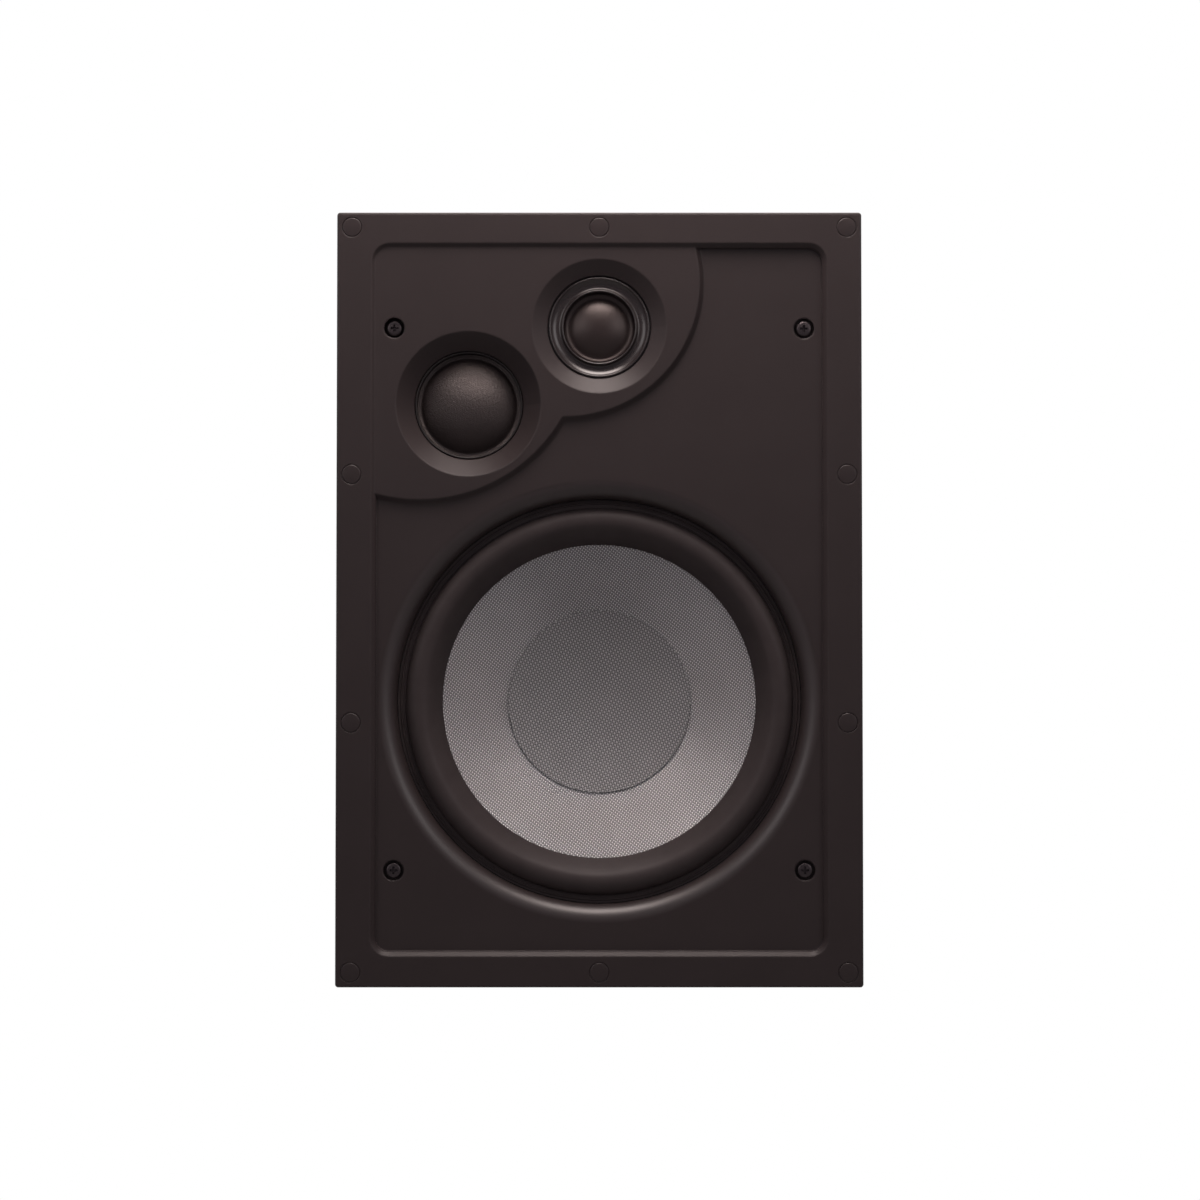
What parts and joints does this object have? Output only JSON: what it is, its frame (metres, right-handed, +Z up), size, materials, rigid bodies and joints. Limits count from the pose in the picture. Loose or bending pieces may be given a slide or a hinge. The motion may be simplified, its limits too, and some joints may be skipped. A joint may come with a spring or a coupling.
{
  "type": "flush-mount ceiling speaker",
  "caption": "Rectangular flush-mount loudspeaker: woven-cone woofer, soft-dome midrange and tweeter in a raised pod, swing-out wall clamps and spring terminals.",
  "frame": {"origin": "middle of the bezel's back face, on the wall plane", "axes": "+X to the right seen from the front, +Y back into the wall, +Z up"},
  "size_m": [0.2472, 0.0909, 0.3642],
  "materials": {
    "moulded_abs": "fine spark-eroded texture, charcoal black",
    "black_nickel": "black coated magnet face",
    "foam": "closed-cell gasket foam",
    "black_steel": "black stoved paint on pressed steel",
    "butyl_rubber": "satin moulded rubber",
    "woven_glass": "resin-bonded woven glass fibre",
    "treated_cotton": "varnished corrugated cotton",
    "aluminium_foil": "rolled foil",
    "copper_wire": "enamelled copper wire",
    "zinc_steel": "bright zinc plating",
    "ferrite": "ground sintered ferrite",
    "nickel_magnet": "nickel plating",
    "coated_silk": "coated woven dome cloth",
    "black_abs": "moulded black plastic",
    "black_screw": "black oxide",
    "brass": "turned brass",
    "nylon": "glass-filled nylon",
    "circuit_board": "green solder resist on glass laminate",
    "capacitor_sleeve": "shrunk sleeve",
    "cement": "ceramic cement",
    "red_plastic": "moulded red plastic",
    "black_plastic": "moulded black plastic"
  },
  "bodies": {
    "speaker": {"front_baffle": "moulded_abs", "grille_magnets": "black_nickel", "woofer_gasket": "foam", "woofer_basket": "black_steel", "woofer_surround": "butyl_rubber", "woofer_spider": "treated_cotton", "woofer_top_plate": "zinc_steel", "woofer_magnet": "ferrite", "woofer_yoke": "zinc_steel", "woofer_screws": "black_screw", "midrange_frame": "black_abs", "midrange_pole_plate": "zinc_steel", "midrange_magnet": "nickel_magnet", "midrange_yoke": "zinc_steel", "midrange_rear_chamber": "black_abs", "midrange_screws": "black_screw", "tweeter_faceplate": "black_abs", "tweeter_pole_plate": "zinc_steel", "tweeter_magnet": "nickel_magnet", "tweeter_yoke": "zinc_steel", "tweeter_rear_chamber": "black_abs", "tweeter_screws": "black_screw", "crossover_board": "circuit_board", "crossover_screws": "zinc_steel", "woofer_inductor_bobbin": "black_abs", "woofer_inductor_winding": "copper_wire", "midrange_inductor_winding": "copper_wire", "tweeter_inductor_winding": "copper_wire", "crossover_capacitors": "capacitor_sleeve", "crossover_resistors": "cement", "terminal_block": "black_abs"},
    "woofer_diaphragm": {"woofer_cone": "woven_glass", "woofer_dust_cap": "woven_glass", "woofer_coil_former": "aluminium_foil", "woofer_voice_coil": "copper_wire"},
    "midrange_diaphragm": {"midrange_dome": "coated_silk", "midrange_voice_coil": "copper_wire"},
    "tweeter_diaphragm": {"tweeter_dome": "coated_silk", "tweeter_voice_coil": "copper_wire"},
    "terminal_plunger_positive": {"terminal_cap_positive": "red_plastic"},
    "terminal_plunger_negative": {"terminal_cap_negative": "black_plastic"},
    "clamp_screw_body_1": {"clamp_screw_1": "black_screw"},
    "clamp_nut_body_1": {"clamp_nut_1": "brass"},
    "clamp_arm_body_1": {"clamp_arm_1": "nylon"},
    "clamp_screw_body_2": {"clamp_screw_2": "black_screw"},
    "clamp_nut_body_2": {"clamp_nut_2": "brass"},
    "clamp_arm_body_2": {"clamp_arm_2": "nylon"},
    "clamp_screw_body_3": {"clamp_screw_3": "black_screw"},
    "clamp_nut_body_3": {"clamp_nut_3": "brass"},
    "clamp_arm_body_3": {"clamp_arm_3": "nylon"},
    "clamp_screw_body_4": {"clamp_screw_4": "black_screw"},
    "clamp_nut_body_4": {"clamp_nut_4": "brass"},
    "clamp_arm_body_4": {"clamp_arm_4": "nylon"}
  },
  "joints": [
    {"name": "woofer_excursion", "type": "slide", "parent": "speaker", "child": "woofer_diaphragm", "axis": [0, -1, 0], "range_m": [-0.006, 0.006], "stiffness_N_per_m": 1500, "deforming": ["woofer_surround", "woofer_spider"]},
    {"name": "midrange_excursion", "type": "slide", "parent": "speaker", "child": "midrange_diaphragm", "axis": [0, -1, 0], "range_m": [-0.001, 0.001], "stiffness_N_per_m": 900, "deforming": ["midrange_dome"]},
    {"name": "tweeter_excursion", "type": "slide", "parent": "speaker", "child": "tweeter_diaphragm", "axis": [0, -1, 0], "range_m": [-0.0004, 0.0004], "stiffness_N_per_m": 900, "deforming": ["tweeter_dome"]},
    {"name": "clamp_travel_1", "type": "slide", "parent": "speaker", "child": "clamp_nut_body_1", "axis": [0, -1, 0], "range_m": [0, 0.029]},
    {"name": "clamp_swing_1", "type": "hinge", "parent": "clamp_nut_body_1", "child": "clamp_arm_body_1", "pos_m": [0.0966, 0, 0.1276], "axis": [0, 1, 0], "range_deg": [0, 90]},
    {"name": "clamp_turn_1", "type": "hinge", "parent": "speaker", "child": "clamp_screw_body_1", "pos_m": [0.0966, 0, 0.1276], "axis": [0, 1, 0], "range_deg": [0, 6961]},
    {"name": "clamp_travel_2", "type": "slide", "parent": "speaker", "child": "clamp_nut_body_2", "axis": [0, -1, 0], "range_m": [0, 0.029]},
    {"name": "clamp_swing_2", "type": "hinge", "parent": "clamp_nut_body_2", "child": "clamp_arm_body_2", "pos_m": [0.0966, 0, -0.1276], "axis": [0, 1, 0], "range_deg": [0, 90]},
    {"name": "clamp_turn_2", "type": "hinge", "parent": "speaker", "child": "clamp_screw_body_2", "pos_m": [0.0966, 0, -0.1276], "axis": [0, 1, 0], "range_deg": [0, 6961]},
    {"name": "clamp_travel_3", "type": "slide", "parent": "speaker", "child": "clamp_nut_body_3", "axis": [0, -1, 0], "range_m": [0, 0.029]},
    {"name": "clamp_swing_3", "type": "hinge", "parent": "clamp_nut_body_3", "child": "clamp_arm_body_3", "pos_m": [-0.0966, 0, 0.1276], "axis": [0, 1, 0], "range_deg": [0, 90]},
    {"name": "clamp_turn_3", "type": "hinge", "parent": "speaker", "child": "clamp_screw_body_3", "pos_m": [-0.0966, 0, 0.1276], "axis": [0, 1, 0], "range_deg": [0, 6961]},
    {"name": "clamp_travel_4", "type": "slide", "parent": "speaker", "child": "clamp_nut_body_4", "axis": [0, -1, 0], "range_m": [0, 0.029]},
    {"name": "clamp_swing_4", "type": "hinge", "parent": "clamp_nut_body_4", "child": "clamp_arm_body_4", "pos_m": [-0.0966, 0, -0.1276], "axis": [0, 1, 0], "range_deg": [0, 90]},
    {"name": "clamp_turn_4", "type": "hinge", "parent": "speaker", "child": "clamp_screw_body_4", "pos_m": [-0.0966, 0, -0.1276], "axis": [0, 1, 0], "range_deg": [0, 6961]},
    {"name": "terminal_press_positive", "type": "slide", "parent": "speaker", "child": "terminal_plunger_positive", "axis": [0, -1, 0], "range_m": [0, 0.004], "stiffness_N_per_m": 400, "springref_m": -0.003},
    {"name": "terminal_press_negative", "type": "slide", "parent": "speaker", "child": "terminal_plunger_negative", "axis": [0, -1, 0], "range_m": [0, 0.004], "stiffness_N_per_m": 400, "springref_m": -0.003}
  ],
  "couplings": [
    {"joint": "clamp_turn_1", "follows": "clamp_travel_1", "rad_per_m": 4188.8},
    {"joint": "clamp_turn_2", "follows": "clamp_travel_2", "rad_per_m": 4188.8},
    {"joint": "clamp_turn_3", "follows": "clamp_travel_3", "rad_per_m": 4188.8},
    {"joint": "clamp_turn_4", "follows": "clamp_travel_4", "rad_per_m": 4188.8}
  ]
}
